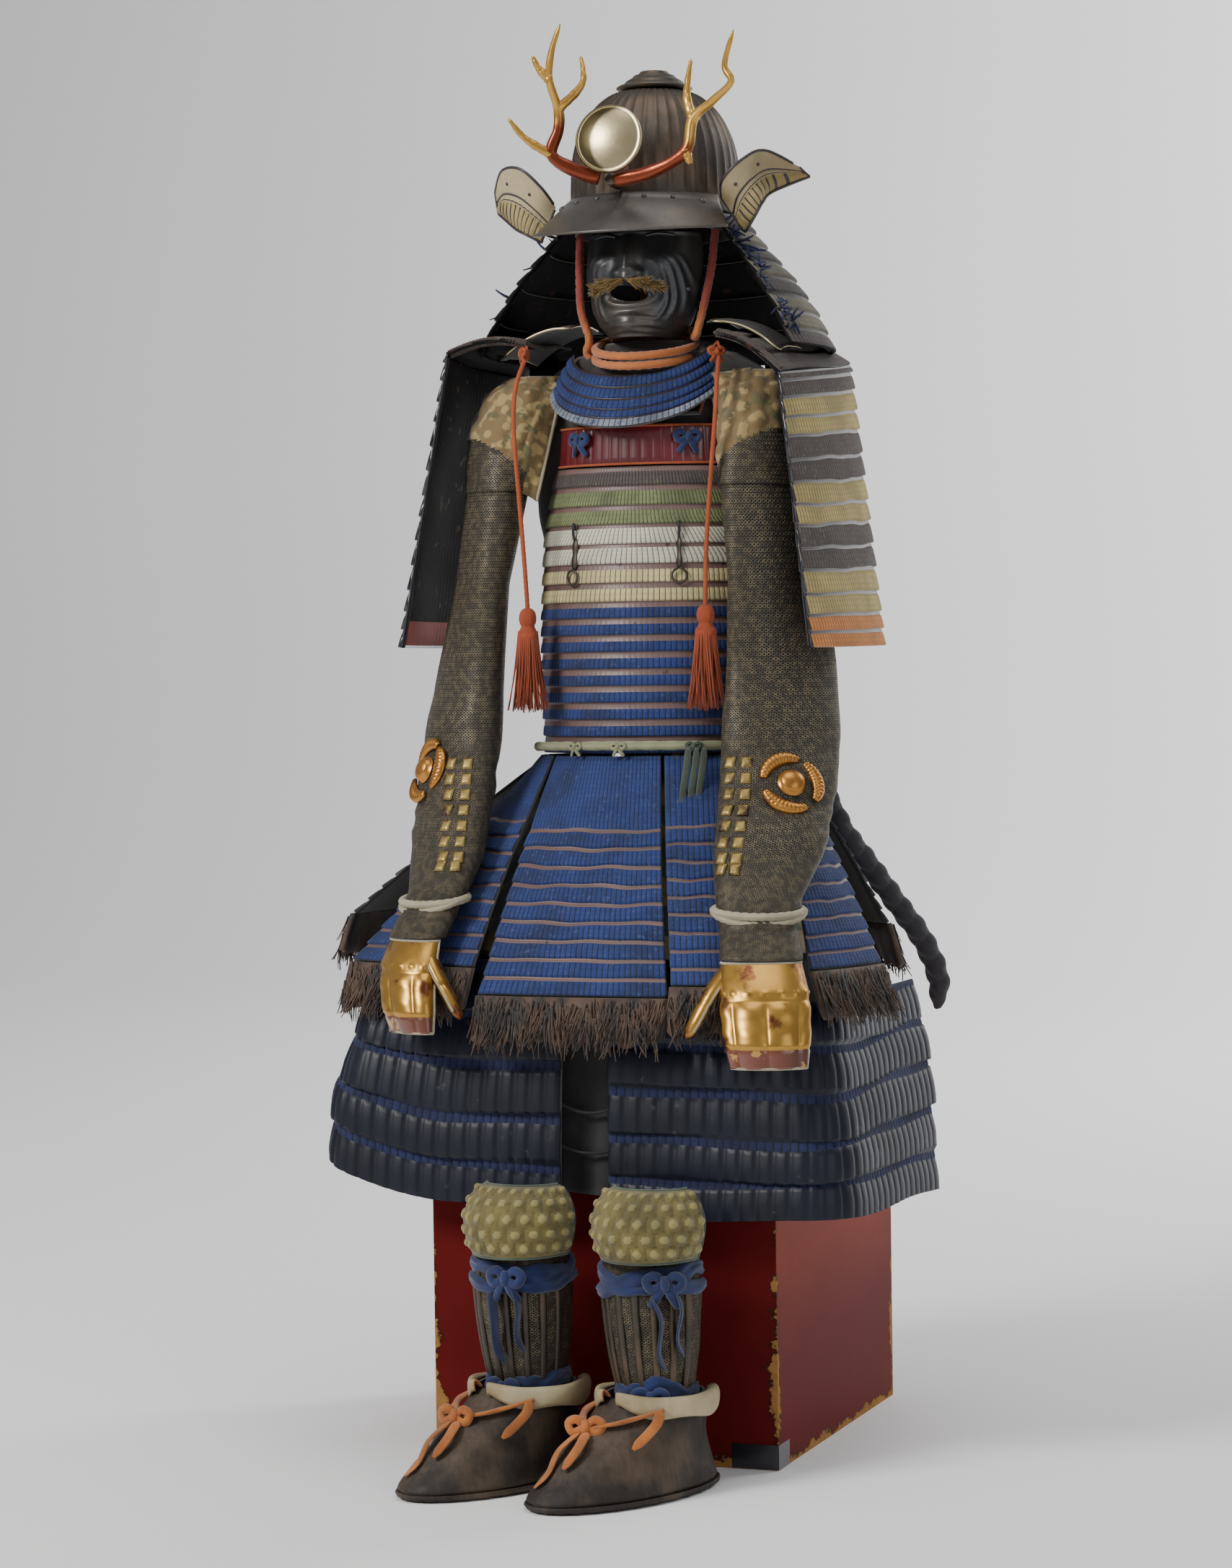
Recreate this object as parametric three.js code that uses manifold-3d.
// A suit of samurai armour, seated on its own lacquered storage chest.
//
// Millimetres, +Z up. The origin is the centre of the chest's underside, on the floor. The armour
// faces -Y, and +X is the wearer's left. Every plate, lame and sleeve is a wall of cloth, leather
// or iron around an open hollow; a plain wooden stand inside carries the cuirass and the helmet.

import * as THREE from 'three';
import { mergeVertices } from 'three/addons/utils/BufferGeometryUtils.js';
import Module from 'manifold-3d';

const wasm = await Module();
wasm.setup();

// ---------------------------------------------------------------- driving dimensions

const GAP = 0.3; // clearance between pieces that touch
const PLATE = 2.5; // iron and lacquered hide
const CLOTH = 2; // mail on cloth, brocade

const CHEST = { wide: 434, deep: 490, wood: 12, lidWood: 10, lidHigh: 100, lidTop: 500 };

const STAND = {
  base: 220, baseThick: 18, post: 34, shoulderHalf: 92, barTop: 1297, barThick: 26, headTop: 1650.5,
};

const BOWL_ROWS = [
  { z: 1657, wide: 15, deep: 17 },
  { z: 1652, wide: 46, deep: 52 },
  { z: 1637, wide: 69, deep: 79 },
  { z: 1610, wide: 88, deep: 100 },
  { z: 1570, wide: 100, deep: 115 },
  { z: 1500, wide: 102.5, deep: 118 },
];
const FINIAL_PROFILE = [
  { radius: 17, z: 1680 },
  { radius: 24, z: 1676 },
  { radius: 34, z: 1666 },
  { radius: 45, z: 1659 },
];
const VISOR = { span: 66, rootZ: 1518, brimZ: 1466, brimRise: 14, wide: 137, deep: 140, y: -40 };
const NECK_ROWS = [
  { z: 1497, wide: 106, deep: 122, span: 116 },
  { z: 1459, wide: 134, deep: 150, span: 116 },
  { z: 1417, wide: 170, deep: 184, span: 115 },
  { z: 1374, wide: 198, deep: 211, span: 114 },
  { z: 1331, wide: 217, deep: 229, span: 113 },
];
const NECK_KICK = 5; // how far each lame stands over the next
const TURNBACK_LEFT_ROWS = [
  { front: [108, -66, 1512], back: [132, -50, 1470] },
  { front: [116, -88, 1530], back: [149, -60, 1490] },
  { front: [140, -90, 1552], back: [157, -55, 1506] },
  { front: [161, -60, 1567], back: [163, -30, 1521] },
  { front: [190, -14, 1551], back: [199, 0, 1540] },
];
const TURNBACK_RIGHT_ROWS = [
  { front: [-108, -66, 1512], back: [-134, -50, 1472] },
  { front: [-118, -88, 1534], back: [-152, -54, 1482] },
  { front: [-144, -92, 1558], back: [-168, -46, 1490] },
  { front: [-176, -72, 1560], back: [-186, -34, 1503] },
  { front: [-198, -40, 1538], back: [-202, -20, 1514] },
];
const ANTLER_LEFT = {
  beam: [[7, -160, 1529], [55, -172, 1534], [101, -180, 1555], [111, -180, 1592],
    [140, -190, 1611], [166, -200, 1630], [158, -200, 1650], [173, -210, 1689]],
  tines: [
    [[111, -180, 1592], [101, -172, 1622], [103, -160, 1667]],
    [[101, -180, 1555], [107, -180, 1539]],
  ],
};
const ANTLER_RIGHT = {
  beam: [[-15, -160, 1533], [-45, -170, 1543], [-69, -180, 1561], [-60, -180, 1590],
    [-59, -182, 1614], [-63, -200, 1648], [-57, -206, 1680], [-44, -210, 1711]],
  tines: [
    [[-69, -180, 1561], [-98, -192, 1580], [-116, -200, 1604]],
    [[-59, -182, 1614], [-32, -170, 1645], [-37, -160, 1679]],
    [[-63, -200, 1648], [-74, -206, 1660], [-80, -210, 1675]],
  ],
};
const ANTLER_RADIUS = { root: 9.5, tip: 2.8 };
const DISC = { x: 2, y: -172, z: 1576, radius: 42, thick: 3, bulge: 9, lean: 8 };
const CREST_HOLDER = { x: -4, wide: 14, z: 1531, high: 16, front: -150, back: -120 };

const MASK = { y: -30, span: 82, noseRise: 15, noseHalfAngle: 13 };
const MASK_ROWS = [
  { z: 1474, wide: 73, deep: 63, nose: 0.2 },
  { z: 1460, wide: 75, deep: 68, nose: 0.6 },
  { z: 1444, wide: 76, deep: 73, nose: 1.0 },
  { z: 1428, wide: 75, deep: 75, nose: 0.9 },
  { z: 1414, wide: 73, deep: 77, nose: 0.2 },
  { z: 1398, wide: 70, deep: 76, nose: 0 },
  { z: 1380, wide: 66, deep: 77, nose: 0 },
  { z: 1362, wide: 58, deep: 78, nose: 0 },
  { z: 1345, wide: 44, deep: 72, nose: 0 },
];
const MOUTH = { z: 1398, halfWide: 25, halfHigh: 9 };

const THROAT_ROWS = [
  { half: 87, endY: -44, endZ: 1332, middleY: -104, middleZ: 1300 },
  { half: 94, endY: -49, endZ: 1318, middleY: -114, middleZ: 1281 },
  { half: 101, endY: -54, endZ: 1304, middleY: -123, middleZ: 1263 },
  { half: 105, endY: -58, endZ: 1293, middleY: -131, middleZ: 1248 },
  { half: 109, endY: -63, endZ: 1284, middleY: -138, middleZ: 1234 },
];
const THROAT = { x: -8, kick: 3 };

const CHIN_CORD = { diameter: 11, wide: 62, deep: 72, y: -42, topZ: 1330, pitch: 11.8, turns: 2, tilt: 36 };

const TOP_PLATE = { topZ: 1239, lowZ: 1190, wide: 138, deep: 107, span: 51 };
const CUIRASS_ROWS = [
  { z: 1188, wide: 138, deep: 108, span: 54, backSpan: 58 },
  { z: 1125, wide: 144, deep: 118, span: 64, backSpan: 68 },
  { z: 1075, wide: 147, deep: 124, span: 88, backSpan: 90 },
  { z: 1000, wide: 150, deep: 130, span: 88.5, backSpan: 90 },
  { z: 920, wide: 150, deep: 134, span: 88.5, backSpan: 90 },
  { z: 840, wide: 147, deep: 133, span: 88.5, backSpan: 90 },
];
const BACK_TOP = { z: 1235, wide: 134, deep: 106, backSpan: 52 };
const STRAP = { x: 66, wide: 36, thick: 5 };
const STRAP_PATH = [
  { y: -91, z: 1252 }, { y: -78, z: 1264 }, { y: -46, z: 1294 }, { y: -8, z: 1304 },
  { y: 38, z: 1303 }, { y: 76, z: 1280 }, { y: 98, z: 1239 },
];
const SHOULDER_PLATE_ROWS = [
  { y: -76, rise: 0 }, { y: -40, rise: 6 }, { y: 0, rise: 8 }, { y: 50, rise: 3 },
];
const SHOULDER_PLATE = { inner: 90, outer: 180, innerZ: 1362, outerZ: 1326, arch: 22 };

const BELT = { diameter: 12, wide: 157, deep: 143.5, z: 849, backZ: 843 };
const SASH = { wide: 38, thick: 20 };
const SASH_ROUTE = [
  [149, 95, 826], [174, 114, 782], [193, 132, 735], [214, 172, 690],
  [238, 212, 640], [262, 250, 590], [274, 280, 540], [268, 296, 498],
];

const WAIST = { z: 836, wide: 153, deep: 139 }; // the oval that the tassets hang from
const TASSET = { lacing: 0.31, lames: 5, kick: 3, bulge: 8 };
const TASSET_ROWS = [
  { name: 'front', angle: -13, half: 29.5, hemX: -7, hemY: -315, hemZ: 560, turn: 0, hemHalf: 118 },
  { name: 'front_left', angle: 43, half: 25, hemX: 188, hemY: -306, hemZ: 574, turn: 9, hemHalf: 72 },
  { name: 'side_left', angle: 92, half: 22.5, hemX: 300, hemY: -226, hemZ: 592, turn: 70, hemHalf: 68 },
  { name: 'back_left', angle: 142, half: 24, hemX: 190, hemY: 150, hemZ: 622, turn: 138, hemHalf: 98 },
  { name: 'back_right', angle: 193, half: 25, hemX: -62, hemY: 225, hemZ: 622, turn: 180, hemHalf: 138 },
  { name: 'side_right', angle: -115, half: 24, hemX: -312, hemY: -45, hemZ: 648, turn: -98, hemHalf: 156 },
  { name: 'front_right', angle: -67, half: 22, hemX: -227, hemY: -272, hemZ: 592, turn: -22, hemHalf: 101 },
];
const FUR = { drop: 66, thick: 10, lean: 26, proud: 3, below: 1 };

const APRON_ROWS = [
  { z: 808, wide: 140, deep: 126, y: 0 },
  { z: 740, wide: 172, deep: 164, y: -5 },
  { z: 665, wide: 214, deep: 214, y: -12 },
  { z: 600, wide: 244, deep: 262, y: -18 },
];
const THIGH = { lames: 5, kick: 4, slitHalf: 30 };
const THIGH_LEFT_ROWS = [
  { z: 552, frontY: -286, cornerX: 284, cornerY: -252, backX: 291, backY: 96, climb: 0 },
  { z: 470, frontY: -294, cornerX: 301, cornerY: -270, backX: 309, backY: 84, climb: 0 },
  { z: 380, frontY: -299, cornerX: 315, cornerY: -282, backX: 322, backY: 70, climb: -2 },
  { z: 304, frontY: -302, cornerX: 321, cornerY: -288, backX: 330, backY: 60, climb: -4 },
];
const THIGH_RIGHT_ROWS = [
  { z: 598, frontY: -272, cornerX: 276, cornerY: -234, backX: 286, backY: 96, climb: 22 },
  { z: 500, frontY: -290, cornerX: 311, cornerY: -259, backX: 320, backY: 84, climb: 44 },
  { z: 395, frontY: -298, cornerX: 336, cornerY: -276, backX: 342, backY: 70, climb: 60 },
  { z: 310, frontY: -302, cornerX: 343, cornerY: -282, backX: 350, backY: 60, climb: 64 },
];
const THIGH_CORNER_ROUND = 46;

const LEG = { leftX: 96, rightX: -63, y: -345 };
const SHIN_ROWS = [
  { z: 262, wide: 54, deep: 58, span: 118 },
  { z: 215, wide: 56, deep: 60, span: 120 },
  { z: 150, wide: 50, deep: 54, span: 122 },
  { z: 92, wide: 38, deep: 42, span: 124 },
];
const KNEE_ROWS = [
  { z: 344, wide: 44, deep: 34 },
  { z: 333, wide: 58, deep: 56 },
  { z: 310, wide: 66, deep: 76 },
  { z: 286, wide: 64, deep: 78 },
  { z: 266, wide: 57, deep: 71 },
];
const KNEE = { span: 84 };
const SHOE = { turn: -26, wall: 3 };
const SHOE_ROWS = [
  { z: 112, ahead: 2, wide: 54, deep: 62 },
  { z: 92, ahead: 10, wide: 56, deep: 74 },
  { z: 62, ahead: 34, wide: 58, deep: 98 },
  { z: 34, ahead: 46, wide: 64, deep: 120 },
  { z: 12, ahead: 54, wide: 67, deep: 137 },
  { z: 0, ahead: 54, wide: 60, deep: 130 },
];
const ANKLE_LEFT = { x: 110, y: -370 };
const ANKLE_RIGHT = { x: -55, y: -352 };

const SLEEVE_LEFT_ROWS = [
  { z: 1164, x: 162, y: -75, wide: 66, deep: 35, turn: 58 },
  { z: 1050, x: 177, y: -84, wide: 71, deep: 29, turn: 57 },
  { z: 950, x: 182, y: -82, wide: 74, deep: 32, turn: 48 },
  { z: 860, x: 191, y: -118, wide: 75, deep: 36, turn: 36 },
  { z: 790, x: 200, y: -162, wide: 72, deep: 36, turn: 34 },
  { z: 720, x: 207, y: -222, wide: 66, deep: 34, turn: 30 },
  { z: 672, x: 208, y: -264, wide: 50, deep: 30, turn: 22 },
  { z: 640, x: 214, y: -287, wide: 46, deep: 28, turn: 18 },
  { z: 606, x: 226, y: -314, wide: 48, deep: 28, turn: 16 },
];
const SLEEVE_RIGHT_ROWS = [
  { z: 1164, x: -190, y: -68, wide: 66, deep: 38, turn: -60 },
  { z: 1050, x: -206, y: -82, wide: 70, deep: 32, turn: -60 },
  { z: 950, x: -221, y: -84, wide: 72, deep: 38, turn: -52 },
  { z: 860, x: -224, y: -108, wide: 72, deep: 42, turn: -44 },
  { z: 790, x: -219, y: -150, wide: 70, deep: 40, turn: -40 },
  { z: 720, x: -207, y: -206, wide: 64, deep: 36, turn: -38 },
  { z: 680, x: -203, y: -246, wide: 48, deep: 31, turn: -36 },
  { z: 652, x: -206, y: -271, wide: 44, deep: 28, turn: -34 },
  { z: 626, x: -212, y: -292, wide: 46, deep: 28, turn: -34 },
];
const SHOULDER_LEFT_ROWS = [
  { z: 1304, x: 140, y: -28, wide: 34, deep: 30, turn: 60 },
  { z: 1280, x: 147, y: -42, wide: 48, deep: 40, turn: 60 },
  { z: 1240, x: 150, y: -55, wide: 56, deep: 43, turn: 60 },
  { z: 1200, x: 155, y: -66, wide: 62, deep: 40, turn: 59 },
  { z: 1164.4, x: 162, y: -75, wide: 66, deep: 35, turn: 58 },
];
const SHOULDER_RIGHT_ROWS = [
  { z: 1306, x: -146, y: -26, wide: 38, deep: 36, turn: -60 },
  { z: 1284, x: -163, y: -38, wide: 52, deep: 48, turn: -60 },
  { z: 1240, x: -174, y: -50, wide: 62, deep: 54, turn: -60 },
  { z: 1200, x: -183, y: -60, wide: 65, deep: 48, turn: -60 },
  { z: 1164.4, x: -190, y: -68, wide: 66, deep: 38, turn: -60 },
];
const HAND = { span: 102, fingers: 4, ridge: 3 };
const HAND_LEFT_ROWS = [
  { z: 604, x: 226, y: -316, wide: 46, deep: 24, turn: 18, ridge: 0 },
  { z: 572, x: 237, y: -338, wide: 50, deep: 27, turn: 18, ridge: 0 },
  { z: 545, x: 243, y: -354, wide: 50, deep: 27, turn: 18, ridge: 0.8 },
  { z: 515, x: 249, y: -368, wide: 48, deep: 25, turn: 18, ridge: 1 },
  { z: 488, x: 253, y: -374, wide: 43, deep: 18, turn: 18, ridge: 0.7 },
];
const HAND_RIGHT_ROWS = [
  { z: 624, x: -212, y: -294, wide: 44, deep: 24, turn: -36, ridge: 0 },
  { z: 596, x: -212, y: -312, wide: 48, deep: 27, turn: -36, ridge: 0 },
  { z: 570, x: -209, y: -326, wide: 48, deep: 27, turn: -36, ridge: 0.8 },
  { z: 542, x: -203, y: -338, wide: 46, deep: 25, turn: -36, ridge: 1 },
  { z: 518, x: -198, y: -344, wide: 41, deep: 18, turn: -36, ridge: 0.7 },
];
const THUMB = { root: 11, tip: 8 };
const THUMB_LEFT = [[192, -328, 598], [177, -350, 570], [165, -361, 545], [152, -368, 518]];
const THUMB_RIGHT = [[-186, -322, 612], [-168, -337, 584], [-150, -346, 560], [-133, -352, 534]];

const SODE = { lames: 7, kick: 4, bulge: 13 };
const SODE_LEFT = {
  start: { topY: -132, lowY: -150, topX: 198, lowX: 240, topZ: 1294, lowZ: 964 },
  end: { topY: 150, lowY: 150, topX: 203, lowX: 243, topZ: 1322, lowZ: 967 },
};
const SODE_RIGHT = {
  start: { topY: 150, lowY: 150, topX: -236, lowX: -292, topZ: 1322, lowZ: 972 },
  end: { topY: -130, lowY: -150, topX: -230, lowX: -289, topZ: 1332, lowZ: 972 },
};

const TASSEL = { top: 1018, low: 893, cap: 11, skirt: 22 };
const TASSEL_CORD = { diameter: 6 };
const TASSEL_LEFT = { x: 103, y: -134, route: [[108, -84, 1322], [114, -112, 1290], [117, -131, 1240],
  [111, -135, 1160], [105, -135, 1080], [103, -134, 1018.3]] };
const TASSEL_RIGHT = { x: -128, y: -130, route: [[-142, -84, 1330], [-146, -112, 1290],
  [-143, -130, 1240], [-136, -134, 1160], [-131, -132, 1080], [-128, -130, 1018.3]] };

// ---------------------------------------------------------------- finishes

const FINISHES = {
  redLacquer: [0x6b1f1a, 0.35, 0.0],
  wood: [0x8a6a45, 0.7, 0.0],
  darkIron: [0x35302b, 0.45, 0.6],
  blackLacquer: [0x16161c, 0.3, 0.2],
  creamLacing: [0xb9ab7c, 0.85, 0.0],
  giltWood: [0xa9782c, 0.35, 0.6],
  polishedBrass: [0xb39a5a, 0.25, 0.9],
  blueLacing: [0x1f2f63, 0.9, 0.0],
  orangeCord: [0xb5542c, 0.85, 0.0],
  maroonLacquer: [0x5a1d22, 0.35, 0.0],
  beltCord: [0x9c9a78, 0.85, 0.0],
  brownFur: [0x2c2019, 1.0, 0.0],
  brocade: [0x8d7a4a, 0.85, 0.0],
  mail: [0x2b2a28, 0.6, 0.3],
  shoeLeather: [0x33261f, 0.8, 0.0],
  sodeLacing: [0x9d9066, 0.85, 0.0],
};

// ---------------------------------------------------------------- small helpers

const radians = THREE.MathUtils.degToRad;
const lerp = THREE.MathUtils.lerp;
const point = (x, y, z) => new THREE.Vector3(x, y, z);
const points = (list) => list.map(([x, y, z]) => point(x, y, z));
const group = new THREE.Group();
group.name = 'samurai_armour';

function add(name, finish, geometry) {
  const [color, roughness, metalness] = FINISHES[finish];
  const mesh = new THREE.Mesh(geometry, new THREE.MeshStandardMaterial({ color, roughness, metalness }));
  mesh.name = name;
  group.add(mesh);
}

// The row of a table at a share of the way down it, every column blended between its two rows.
function rowAt(table, share) {
  const place = share * (table.length - 1);
  const index = Math.min(Math.floor(place), table.length - 2);
  const columns = Object.keys(table[index]);
  const blend = (key) => lerp(table[index][key], table[index + 1][key], place - index);
  return Object.fromEntries(columns.map((key) => [key, blend(key)]));
}

// A point on a level oval. Angle 0 is its front, and positive angles turn to the right as seen
// from the front. The oval itself may be turned about the vertical.
function onOval({ x = 0, y = 0, z, wide, deep, turn = 0 }, angle) {
  const across = wide * Math.sin(radians(angle));
  const ahead = deep * Math.cos(radians(angle));
  const side = [Math.cos(radians(turn)), Math.sin(radians(turn))];
  return point(x + across * side[0] + ahead * side[1], y + across * side[1] - ahead * side[0], z);
}

// Even rows, and rows that step out at the foot of each lame.
const evenRows = (count) => Array.from({ length: count }, (_, r) => ({ v: r / (count - 1), lift: 0 }));

function lameRows(count, kick, from = 0) {
  const rows = from > 0 ? [{ v: 0, lift: 0 }] : [];
  for (let lame = 0; lame < count; lame++) {
    const start = lame === 0 ? 0 : lame + 0.03;
    rows.push({ v: lerp(from, 1, start / count), lift: 0 });
    rows.push({ v: lerp(from, 1, (lame + 1) / count), lift: kick });
  }
  return rows;
}

// ---------------------------------------------------------------- solids

function solid(vertices, faces) {
  const geometry = new THREE.BufferGeometry();
  const positions = vertices.flatMap((vertex) => vertex.toArray());
  geometry.setAttribute('position', new THREE.Float32BufferAttribute(positions, 3));
  geometry.setIndex(faces.flat());
  geometry.computeVertexNormals();
  return geometry;
}

// A wall of even thickness behind a grid of points. Rows run down the piece and columns run to
// the right as seen from outside, so that down x across points outwards.
function wallBehind(grid, thick, lifts, ring) {
  const rows = grid.length;
  const cols = grid[0].length;
  const wrap = (c) => (ring ? (c + cols) % cols : THREE.MathUtils.clamp(c, 0, cols - 1));
  const outward = (r, c) => {
    const down = grid[Math.min(r + 1, rows - 1)][c].clone().sub(grid[Math.max(r - 1, 0)][c]);
    return down.cross(grid[r][wrap(c + 1)].clone().sub(grid[r][wrap(c - 1)])).normalize();
  };
  const vertices = [];
  for (const depth of [0, thick]) {
    grid.forEach((row, r) => row.forEach((place, c) => {
      vertices.push(place.clone().addScaledVector(outward(r, c), lifts[r] - depth));
    }));
  }
  const outer = (r, c) => r * cols + wrap(c);
  const inner = (r, c) => rows * cols + outer(r, c);
  const faces = [];
  const quad = (a, b, c, d) => faces.push([a, b, c], [a, c, d]);
  const last = ring ? cols : cols - 1;
  const foot = rows - 1;
  for (let c = 0; c < last; c++) {
    for (let r = 0; r < foot; r++) {
      quad(outer(r, c), outer(r + 1, c), outer(r + 1, c + 1), outer(r, c + 1));
      quad(inner(r, c), inner(r, c + 1), inner(r + 1, c + 1), inner(r + 1, c));
    }
    quad(outer(0, c), outer(0, c + 1), inner(0, c + 1), inner(0, c));
    quad(outer(foot, c + 1), outer(foot, c), inner(foot, c), inner(foot, c + 1));
  }
  for (let r = 0; r < foot && !ring; r++) {
    quad(outer(r + 1, 0), outer(r, 0), inner(r, 0), inner(r + 1, 0));
    quad(outer(r, last), outer(r + 1, last), inner(r + 1, last), inner(r, last));
  }
  return solid(vertices, faces);
}

// A sheet over the unit square: at(u, v) with u to the right and v downwards.
function sheet({ at, rows, cols, thick }) {
  const grid = rows.map(({ v }) => Array.from({ length: cols }, (_, c) => at(c / (cols - 1), v)));
  return wallBehind(grid, thick, rows.map((row) => row.lift), false);
}

// A wall round part of a stack of ovals, from -span to +span about the middle angle.
function ovalWall(table, { cols, rows, middle = 0, thick, spanKey = 'span' }) {
  const at = (u, v) => {
    const row = rowAt(table, v);
    return onOval(row, middle + lerp(-row[spanKey], row[spanKey], u));
  };
  return sheet({ at, rows: rows ?? evenRows(table.length), cols, thick });
}

// A closed tube through ovals, with both ends open.
function ovalTube(table, cols, thick) {
  const grid = table.map((row) => Array.from({ length: cols }, (_, c) => onOval(row, (360 * c) / cols)));
  return wallBehind(grid, thick, table.map(() => 0), true);
}

// A solid through rings of points listed from its top down, each anticlockwise seen from above.
function loft(rings) {
  const cols = rings[0].length;
  const vertices = rings.flat();
  const faces = [];
  for (let r = 0; r < rings.length - 1; r++) {
    for (let c = 0; c < cols; c++) {
      const [a, b] = [r * cols + c, r * cols + ((c + 1) % cols)];
      faces.push([a, a + cols, b + cols], [a, b + cols, b]);
    }
  }
  const middle = (ring) => ring.reduce((sum, place) => sum.add(place), point(0, 0, 0)).divideScalar(cols);
  const top = vertices.push(middle(rings[0])) - 1;
  const foot = vertices.push(middle(rings[rings.length - 1])) - 1;
  const low = (rings.length - 1) * cols;
  for (let c = 0; c < cols; c++) {
    faces.push([top, c, (c + 1) % cols], [foot, low + ((c + 1) % cols), low + c]);
  }
  return solid(vertices, faces);
}

const ovalLoft = (table, cols) => loft(table.map((row) => (
  Array.from({ length: cols }, (_, c) => onOval(row, (360 * c) / cols)))));

// A round rod along a curve whose radius changes evenly from its first end to its last.
function taperedRod(route, firstRadius, lastRadius, { steps, sides }) {
  const curve = new THREE.CatmullRomCurve3(points(route));
  const frames = curve.computeFrenetFrames(steps);
  const rings = Array.from({ length: steps + 1 }, (_, i) => {
    const centre = curve.getPointAt(i / steps);
    const radius = lerp(firstRadius, lastRadius, i / steps);
    return Array.from({ length: sides }, (_unused, s) => {
      const angle = (-2 * Math.PI * s) / sides;
      return centre.clone()
        .addScaledVector(frames.normals[i], radius * Math.cos(angle))
        .addScaledVector(frames.binormals[i], radius * Math.sin(angle));
    });
  });
  return loft(rings);
}

// A cord of round or flat section along a curve.
function cord(route, across, through, steps) {
  const sides = 8;
  const corner = (_, s) => {
    const angle = ((s + 0.5) * 2 * Math.PI) / sides;
    return new THREE.Vector2((through / 2) * Math.cos(angle), (across / 2) * Math.sin(angle));
  };
  const section = new THREE.Shape(Array.from({ length: sides }, corner));
  const extrudePath = new THREE.CatmullRomCurve3(points(route));
  return new THREE.ExtrudeGeometry(section, { steps, bevelEnabled: false, extrudePath });
}

function manifoldOf(geometry) {
  const welded = geometry.clone();
  welded.deleteAttribute('normal');
  welded.deleteAttribute('uv');
  const closed = mergeVertices(welded, 1e-3);
  return new wasm.Manifold(new wasm.Mesh({
    numProp: 3,
    vertProperties: new Float32Array(closed.attributes.position.array),
    triVerts: new Uint32Array(closed.index.array),
  }));
}

function geometryOf(manifold) {
  const mesh = manifold.getMesh();
  const geometry = new THREE.BufferGeometry();
  geometry.setAttribute('position', new THREE.BufferAttribute(mesh.vertProperties, 3));
  geometry.setIndex(new THREE.BufferAttribute(mesh.triVerts, 1));
  geometry.computeVertexNormals();
  return geometry;
}

const joined = (parts) => geometryOf(parts.map(manifoldOf).reduce((sum, part) => sum.add(part)));
const cutFrom = (body, tool) => geometryOf(manifoldOf(body).subtract(manifoldOf(tool)));

function block([wide, deep, high], [x, y, z]) {
  return new THREE.BoxGeometry(wide, deep, high).translate(x, y, z + high / 2);
}

// The same piece on the other side of the body, turned right side out again.
function mirrored(geometry) {
  const twin = geometry.clone().scale(-1, 1, 1);
  const index = twin.index.array;
  for (let i = 0; i < index.length; i += 3) {
    [index[i], index[i + 1]] = [index[i + 1], index[i]];
  }
  twin.computeVertexNormals();
  return twin;
}

// ---------------------------------------------------------------- chest and stand

function boxCup(wide, deep, high, wood, openDown) {
  const outside = block([wide, deep, high], [0, 0, 0]);
  const shift = openDown ? -wood : wood;
  const inside = block([wide - 2 * wood, deep - 2 * wood, high], [0, 0, shift]);
  return cutFrom(outside, inside);
}

function addChest() {
  const { wide, deep, wood, lidWood, lidHigh, lidTop } = CHEST;
  const bodyHigh = lidTop - lidWood - GAP; // the lid rests on the body's rim
  add('chest_body', 'redLacquer', boxCup(wide, deep, bodyHigh, wood, false));
  const lidWide = wide + 2 * (lidWood + 1);
  const lidDeep = deep + 2 * (lidWood + 1);
  const lid = boxCup(lidWide, lidDeep, lidHigh, lidWood, true);
  add('chest_lid', 'redLacquer', lid.translate(0, 0, lidTop - lidHigh));
}

function addStand() {
  const { base, baseThick, post, shoulderHalf, barTop, barThick, headTop } = STAND;
  const foot = CHEST.lidTop + GAP;
  const head = [
    { z: headTop, wide: 34, deep: 40 },
    { z: headTop - 12, wide: 52, deep: 60 },
    { z: headTop - 40, wide: 56, deep: 64 },
  ];
  const parts = [
    block([base, base, baseThick], [0, 0, foot]),
    block([post, post, headTop - 30 - foot], [0, 0, foot]),
    block([2 * shoulderHalf, 50, barThick], [0, 4, barTop - barThick]),
    ovalLoft(head, 16),
  ];
  add('armour_stand', 'wood', joined(parts));
}

// ---------------------------------------------------------------- helmet

function addHelmet() {
  add('helmet_bowl', 'darkIron', ovalTube(BOWL_ROWS, 28, PLATE));
  const finial = FINIAL_PROFILE.map(({ radius, z }) => ({ z, wide: radius, deep: radius * 1.1 }));
  add('helmet_finial', 'darkIron', ovalLoft(finial, 16));
  addVisor();
  add('neck_guard', 'blackLacquer', ovalWall(NECK_ROWS, {
    cols: 18, rows: lameRows(NECK_ROWS.length - 1, NECK_KICK), middle: 180, thick: PLATE,
  }));
  add('helmet_turnback_left', 'creamLacing', turnback(TURNBACK_LEFT_ROWS));
  add('helmet_turnback_right', 'creamLacing', turnback(TURNBACK_RIGHT_ROWS.toReversed()));
}

// A turned-back wing: a ribbon between two edges that curl away from the cheek.
function turnback(table) {
  const edge = (key, u) => {
    const place = u * (table.length - 1);
    const index = Math.min(Math.floor(place), table.length - 2);
    return point(...table[index][key]).lerp(point(...table[index + 1][key]), place - index);
  };
  const at = (u, v) => edge('front', u).lerp(edge('back', u), v);
  return sheet({ at, rows: evenRows(3), cols: 9, thick: PLATE });
}

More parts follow.
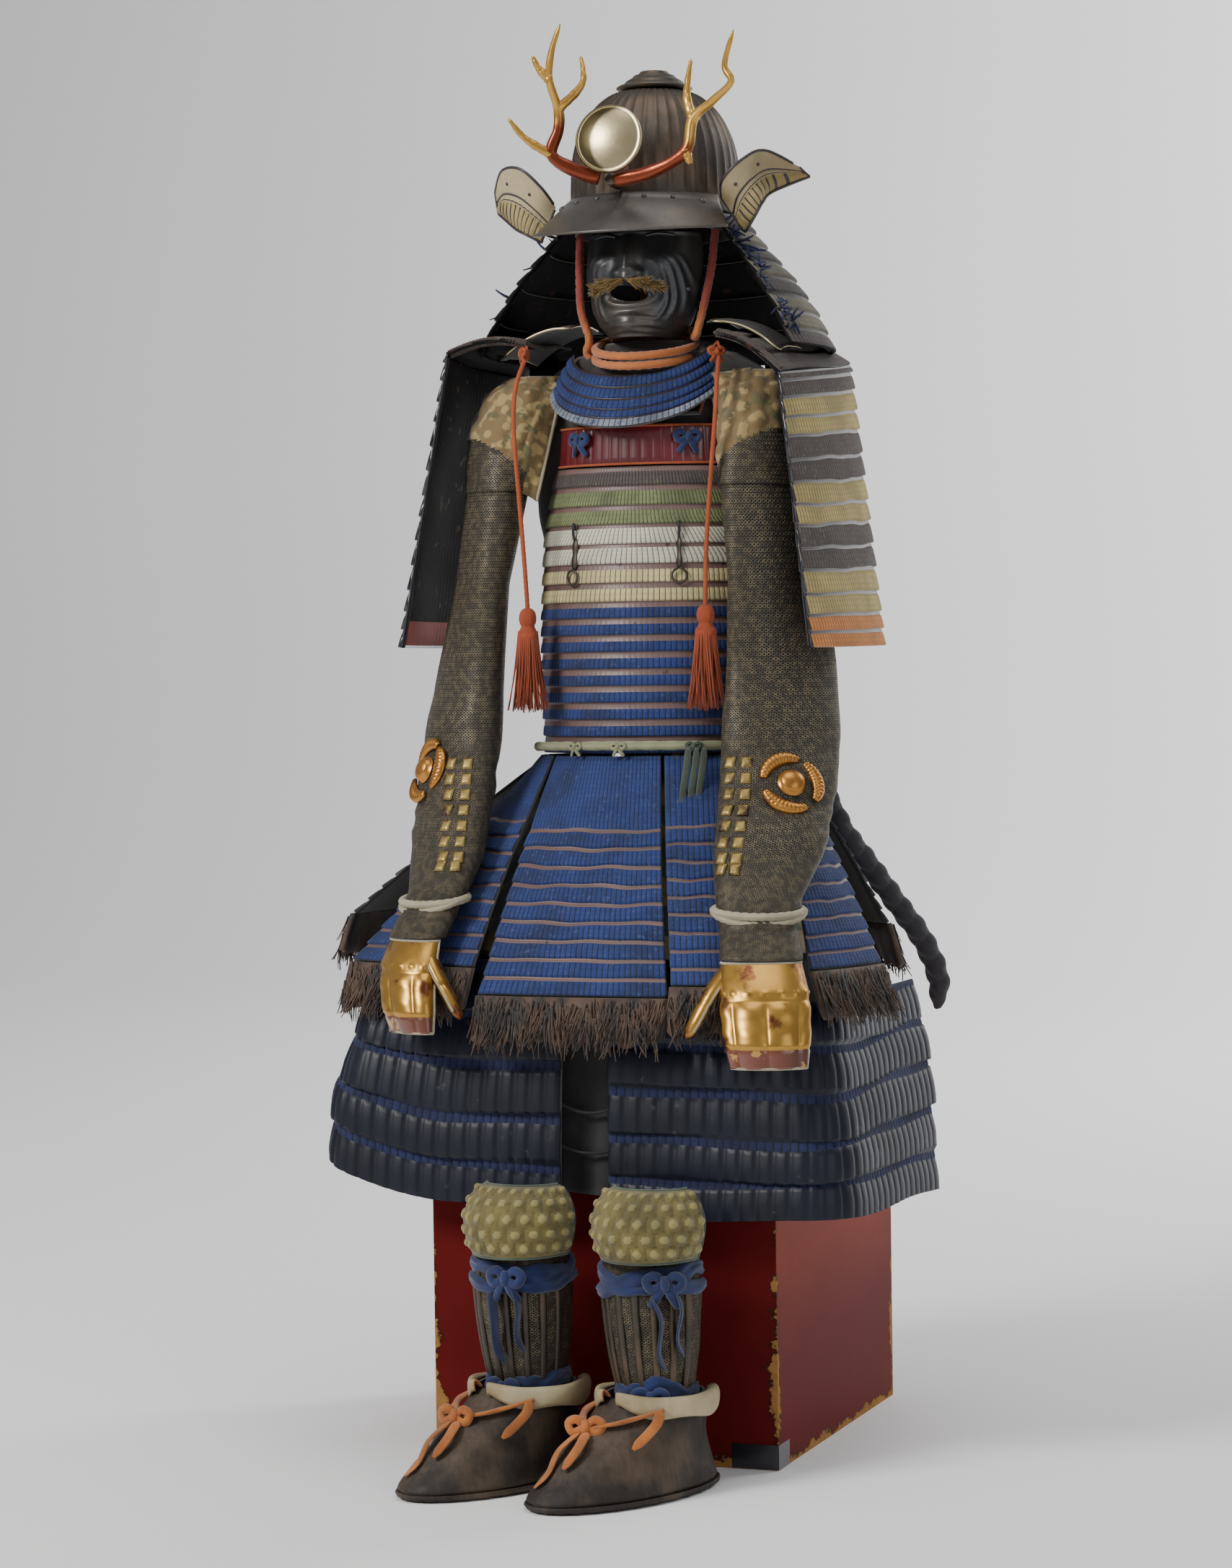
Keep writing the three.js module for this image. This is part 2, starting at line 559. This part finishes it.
function addVisor() {
  const bowl = BOWL_ROWS[BOWL_ROWS.length - 1];
  const stand = 3; // the visor's root clears the bowl
  const visorAt = (u, v) => {
    const angle = lerp(-VISOR.span, VISOR.span, u);
    const root = onOval({ z: VISOR.rootZ, wide: bowl.wide + stand, deep: bowl.deep + stand }, angle);
    const rise = VISOR.brimRise * (1 - Math.cos(radians(angle)));
    const brim = onOval({ ...VISOR, z: VISOR.brimZ + rise }, angle);
    return root.lerp(brim, v);
  };
  add('helmet_visor', 'darkIron', sheet({ at: visorAt, rows: evenRows(4), cols: 19, thick: PLATE }));
}

function antler({ beam, tines }) {
  const { root, tip } = ANTLER_RADIUS;
  const middle = (root + tip) / 2;
  const parts = [taperedRod(beam, root, tip, { steps: 13, sides: 6 })];
  for (const tine of tines) {
    const first = tine.length > 2 ? middle : root * 0.8;
    parts.push(taperedRod(tine, first, first * 0.4, { steps: tine.length + 2, sides: 6 }));
  }
  return joined(parts);
}

function addCrest() {
  add('crest_antler_left', 'giltWood', antler(ANTLER_LEFT));
  add('crest_antler_right', 'giltWood', antler(ANTLER_RIGHT));
  const { radius, thick, bulge } = DISC;
  const bow = (share) => bulge * (1 - share * share);
  const shares = [0, 0.4, 0.75, 1];
  const front = shares.map((share) => new THREE.Vector2(radius * share, bow(share) + thick));
  const back = shares.toReversed().map((share) => new THREE.Vector2(radius * share, bow(share)));
  const disc = new THREE.LatheGeometry([...back.toReversed(), ...front.toReversed()], 24);
  disc.rotateX(Math.PI - radians(DISC.lean)).translate(DISC.x, DISC.y, DISC.z);
  add('crest_disc', 'polishedBrass', facingOut(disc));
  const { x, wide, z, high, front: near, back: far } = CREST_HOLDER;
  const holder = block([wide, far - near, high], [x, (near + far) / 2, z - high / 2]);
  add('crest_holder', 'darkIron', holder);
}

// Turns a closed body right side out when its faces point inwards.
function facingOut(geometry) {
  const body = geometry.clone();
  body.deleteAttribute('normal');
  body.deleteAttribute('uv');
  const closed = mergeVertices(body, 1e-3);
  const { array } = closed.attributes.position;
  const index = closed.index.array;
  const corner = (i) => point(array[3 * index[i]], array[3 * index[i] + 1], array[3 * index[i] + 2]);
  let volume = 0;
  for (let i = 0; i < index.length; i += 3) {
    volume += corner(i).dot(corner(i + 1).cross(corner(i + 2))) / 6;
  }
  for (let i = 0; i < index.length && volume < 0; i += 3) {
    [index[i], index[i + 1]] = [index[i + 1], index[i]];
  }
  closed.computeVertexNormals();
  return closed;
}

// ---------------------------------------------------------------- mask, throat and chin cord

function addMask() {
  const maskAt = (u, v) => {
    const row = rowAt(MASK_ROWS, v);
    const angle = lerp(-MASK.span, MASK.span, u);
    const nose = MASK.noseRise * row.nose * Math.exp(-((angle / MASK.noseHalfAngle) ** 2));
    return onOval({ ...row, y: MASK.y, deep: row.deep + nose }, angle);
  };
  const shell = sheet({ at: maskAt, rows: evenRows(MASK_ROWS.length), cols: 19, thick: PLATE });
  const mouth = new THREE.CylinderGeometry(1, 1, 60, 12);
  mouth.scale(MOUTH.halfWide, 1, MOUTH.halfHigh).translate(0, MASK.y - 80, MOUTH.z);
  add('face_mask', 'darkIron', cutFrom(shell, mouth));
}

function addThroatGuard() {
  const throatAt = (u, v) => {
    const row = rowAt(THROAT_ROWS, v);
    const across = 2 * u - 1;
    const round = 1 - across * across;
    return point(THROAT.x + row.half * Math.sin(across * 1.35) / Math.sin(1.35),
      lerp(row.endY, row.middleY, round), lerp(row.endZ, row.middleZ, round));
  };
  add('throat_guard', 'blueLacing', sheet({
    at: throatAt, rows: lameRows(THROAT_ROWS.length - 1, THROAT.kick), cols: 17, thick: CLOTH,
  }));
}

function addChinCord() {
  const { diameter, wide, deep, y, topZ, pitch, turns, tilt } = CHIN_CORD;
  const perTurn = 12;
  const wound = Array.from({ length: turns * perTurn + perTurn / 2 + 1 }, (_, i) => {
    const angle = 90 + (360 * i) / perTurn;
    const behind = (tilt * (1 - Math.cos(radians(angle)))) / 2;
    return onOval({ z: topZ - (pitch * i) / perTurn + behind, wide, deep, y }, angle).toArray();
  });
  const rise = (side) => [[side * 88, -34, 1470], [side * 86, -44, 1430], [side * 80, -56, 1385],
    [side * 70, -56, 1350]];
  // The second end climbs outside the turns before it rises beside the mask.
  const [endX, endY, endZ] = wound[wound.length - 1];
  const clear = [endX - 14, endY - 6, endZ + 14];
  const route = [...rise(1), ...wound, clear, ...rise(-1).toReversed()];
  add('chin_cord', 'orangeCord', cord(route, diameter, diameter, 46));
}

// ---------------------------------------------------------------- cuirass

function addCuirass() {
  const { topZ, lowZ, wide, deep, span } = TOP_PLATE;
  const plateRows = [{ z: topZ, wide: wide - 4, deep: deep - 3, span }, { z: lowZ, wide, deep, span }];
  add('cuirass_top_plate', 'maroonLacquer', ovalWall(plateRows, { cols: 13, thick: PLATE }));
  add('cuirass_front', 'blueLacing', ovalWall(CUIRASS_ROWS, { cols: 19, thick: PLATE }));
  add('cuirass_back', 'blueLacing', ovalWall([BACK_TOP, ...CUIRASS_ROWS], {
    cols: 17, middle: 180, thick: PLATE, spanKey: 'backSpan',
  }));
  const strapAt = (u, v) => {
    const { y, z } = rowAt(STRAP_PATH, 1 - u);
    return point(STRAP.x + STRAP.wide * (v - 0.5), y, z);
  };
  const strap = sheet({ at: strapAt, rows: evenRows(2), cols: 9, thick: STRAP.thick });
  add('shoulder_strap_left', 'blackLacquer', strap);
  add('shoulder_strap_right', 'blackLacquer', mirrored(strap));
  const shoulderPlateAt = (u, v) => {
    const { y, rise } = rowAt(SHOULDER_PLATE_ROWS, 1 - v);
    const { inner, outer, innerZ, outerZ, arch } = SHOULDER_PLATE;
    const z = lerp(innerZ, outerZ, u) + (arch * 4 * u * (1 - u)) / 2 + rise;
    return point(lerp(inner, outer, u), y, z);
  };
  const plate = sheet({ at: shoulderPlateAt, rows: evenRows(4), cols: 7, thick: PLATE });
  add('shoulder_plate_left', 'darkIron', plate);
  add('shoulder_plate_right', 'darkIron', mirrored(plate));
}

function addBelt() {
  const { diameter, wide, deep, z, backZ } = BELT;
  const knot = 3; // degrees left open each side of the knot
  const turns = 16;
  const route = Array.from({ length: turns + 1 }, (_, i) => {
    const angle = -24 + lerp(knot, 360 - knot, i / turns);
    return onOval({ z: lerp(backZ, z, (1 + Math.cos(radians(angle))) / 2), wide, deep }, angle).toArray();
  });
  add('waist_belt', 'beltCord', cord(route, diameter, diameter, 26));
  add('sash_tail', 'blackLacquer', cord(SASH_ROUTE, SASH.wide, SASH.thick, 14));
}

// ---------------------------------------------------------------- tassets and their fur

function hemPoint(row, u) {
  const across = row.hemHalf * (2 * u - 1);
  const side = radians(row.turn);
  return point(row.hemX + across * Math.cos(side), row.hemY + across * Math.sin(side), row.hemZ);
}

function facing(turn) {
  return point(Math.sin(radians(turn)), -Math.cos(radians(turn)), 0);
}

function addTasset(row) {
  const tassetAt = (u, v) => {
    const waist = onOval(WAIST, row.angle + lerp(-row.half, row.half, u));
    const bulge = TASSET.bulge * Math.sin(Math.PI * v) + 6 * v * (1 - (2 * u - 1) ** 2);
    return waist.lerp(hemPoint(row, u), v).addScaledVector(facing(row.turn), bulge);
  };
  add(`tasset_${row.name}`, 'blueLacing', sheet({
    at: tassetAt, rows: lameRows(TASSET.lames, TASSET.kick, TASSET.lacing), cols: 5, thick: PLATE,
  }));
  const furAt = (u, v) => {
    const wider = { ...row, hemHalf: row.hemHalf + FUR.proud, hemZ: row.hemZ - FUR.below };
    const round = 6 * (1 - (2 * u - 1) ** 2);
    return hemPoint(wider, u).addScaledVector(facing(row.turn), TASSET.kick + round + FUR.lean * v)
      .add(point(0, 0, -FUR.drop * v));
  };
  add(`tasset_fur_${row.name}`, 'brownFur', sheet({
    at: furAt, rows: evenRows(3), cols: 5, thick: FUR.thick,
  }));
}

// ---------------------------------------------------------------- thigh guards

// Plan of a thigh guard at one level: straight across the front, round the corner, back along the side.
function thighPlan({ frontY, cornerX, cornerY, backX, backY }) {
  const round = THIGH_CORNER_ROUND;
  const flat = (x, y) => new THREE.Vector2(x, y);
  const before = flat(cornerX - round, cornerY - 22);
  const after = flat(cornerX, cornerY + round);
  const plan = new THREE.CurvePath();
  plan.add(new THREE.LineCurve(flat(THIGH.slitHalf, frontY), before));
  plan.add(new THREE.QuadraticBezierCurve(before, flat(cornerX - 4, cornerY - 18), after));
  plan.add(new THREE.LineCurve(after, flat(backX, backY)));
  return plan;
}

function thighGuard(table) {
  const at = (u, v) => {
    const row = rowAt(table, v);
    const place = thighPlan(row).getPointAt(u);
    const climb = row.climb * THREE.MathUtils.smoothstep(u, 0.2, 0.65);
    return point(place.x, place.y, row.z + climb);
  };
  return sheet({ at, rows: lameRows(THIGH.lames, THIGH.kick), cols: 12, thick: PLATE });
}

function addThighGuards() {
  const apron = APRON_ROWS.map((row) => ({ ...row, span: 134 }));
  add('thigh_apron', 'brocade', ovalWall(apron, { cols: 15, thick: CLOTH }));
  add('thigh_guard_left', 'blackLacquer', thighGuard(THIGH_LEFT_ROWS));
  add('thigh_guard_right', 'blackLacquer', mirrored(thighGuard(THIGH_RIGHT_ROWS)));
}

// ---------------------------------------------------------------- legs and shoes

function vessel(table, cols, thick) {
  const last = table.length - 1;
  const inside = table.map((row, r) => ({
    ...row,
    z: row.z + (r === 0 || r === last ? thick : 0),
    wide: row.wide - thick,
    deep: row.deep - thick,
  }));
  return cutFrom(ovalLoft(table, cols), ovalLoft(inside, cols));
}

function addLeg(side, legX, ankle) {
  const shin = SHIN_ROWS.map((row, r) => {
    const share = r / (SHIN_ROWS.length - 1);
    return { ...row, x: lerp(legX, ankle.x, share), y: lerp(LEG.y, ankle.y + 7, share) };
  });
  add(`shin_guard_${side}`, 'mail', ovalWall(shin, { cols: 13, thick: CLOTH }));
  const knee = KNEE_ROWS.map((row) => ({ ...row, x: legX + 6, y: LEG.y - 8, span: KNEE.span }));
  add(`knee_pad_${side}`, 'brocade', ovalWall(knee, { cols: 11, thick: CLOTH }));
  const shoe = SHOE_ROWS.map(({ z, ahead, wide, deep }) => {
    const nose = facing(SHOE.turn).multiplyScalar(ahead);
    return { z, x: ankle.x + nose.x, y: ankle.y + nose.y, wide, deep, turn: SHOE.turn };
  });
  add(`shoe_${side}`, 'shoeLeather', vessel(shoe, 16, SHOE.wall));
}

// ---------------------------------------------------------------- arms

function handGuard(table, thumb) {
  const handAt = (u, v) => {
    const row = rowAt(table, v);
    const finger = Math.abs(Math.sin(Math.PI * HAND.fingers * u)) - 0.5;
    return onOval({ ...row, deep: row.deep + HAND.ridge * row.ridge * finger },
      lerp(-HAND.span, HAND.span, u));
  };
  const back = sheet({ at: handAt, rows: evenRows(table.length), cols: 17, thick: PLATE });
  return joined([back, taperedRod(thumb, THUMB.root, THUMB.tip, { steps: 5, sides: 8 })]);
}

function sode({ start, end }) {
  const outwards = Math.sign(start.topX);
  const sodeAt = (u, v) => {
    const edge = ({ topX, lowX, topY, lowY, topZ, lowZ }) => (
      point(lerp(topX, lowX, v), lerp(topY, lowY, v), lerp(topZ, lowZ, v)));
    const round = SODE.bulge * (1 - (2 * u - 1) ** 2);
    return edge(start).lerp(edge(end), u).add(point(outwards * round, 0, 0));
  };
  return sheet({ at: sodeAt, rows: lameRows(SODE.lames, SODE.kick), cols: 6, thick: PLATE });
}

function addArms() {
  add('sleeve_left', 'mail', ovalTube(SLEEVE_LEFT_ROWS, 12, CLOTH));
  add('sleeve_right', 'mail', ovalTube(SLEEVE_RIGHT_ROWS, 12, CLOTH));
  add('sleeve_shoulder_left', 'brocade', ovalTube(SHOULDER_LEFT_ROWS, 12, CLOTH));
  add('sleeve_shoulder_right', 'brocade', ovalTube(SHOULDER_RIGHT_ROWS, 12, CLOTH));
  add('hand_guard_left', 'giltWood', handGuard(HAND_LEFT_ROWS, THUMB_LEFT));
  add('hand_guard_right', 'giltWood', handGuard(HAND_RIGHT_ROWS, THUMB_RIGHT));
  add('shoulder_guard_left', 'sodeLacing', sode(SODE_LEFT));
  add('shoulder_guard_right', 'sodeLacing', sode(SODE_RIGHT));
}

function addTassel(side, { x, y, route }) {
  const { top, low, cap, skirt } = TASSEL;
  const rows = [
    { z: top, wide: 5, deep: 5 },
    { z: top - 6, wide: cap, deep: cap },
    { z: top - 20, wide: cap, deep: cap },
    { z: top - 34, wide: skirt * 0.72, deep: skirt * 0.6 },
    { z: low, wide: skirt, deep: skirt * 0.8 },
  ].map((row) => ({ ...row, x, y }));
  add(`tassel_${side}`, 'orangeCord', ovalLoft(rows, 10));
  add(`tassel_cord_${side}`, 'orangeCord', cord(route, TASSEL_CORD.diameter, TASSEL_CORD.diameter, 18));
}

// ---------------------------------------------------------------- the whole suit

addChest();
addStand();
addHelmet();
addCrest();
addMask();
addThroatGuard();
addChinCord();
addCuirass();
addBelt();
TASSET_ROWS.forEach(addTasset);
addThighGuards();
addLeg('left', LEG.leftX, ANKLE_LEFT);
addLeg('right', LEG.rightX, ANKLE_RIGHT);
addArms();
addTassel('left', TASSEL_LEFT);
addTassel('right', TASSEL_RIGHT);

export default group;
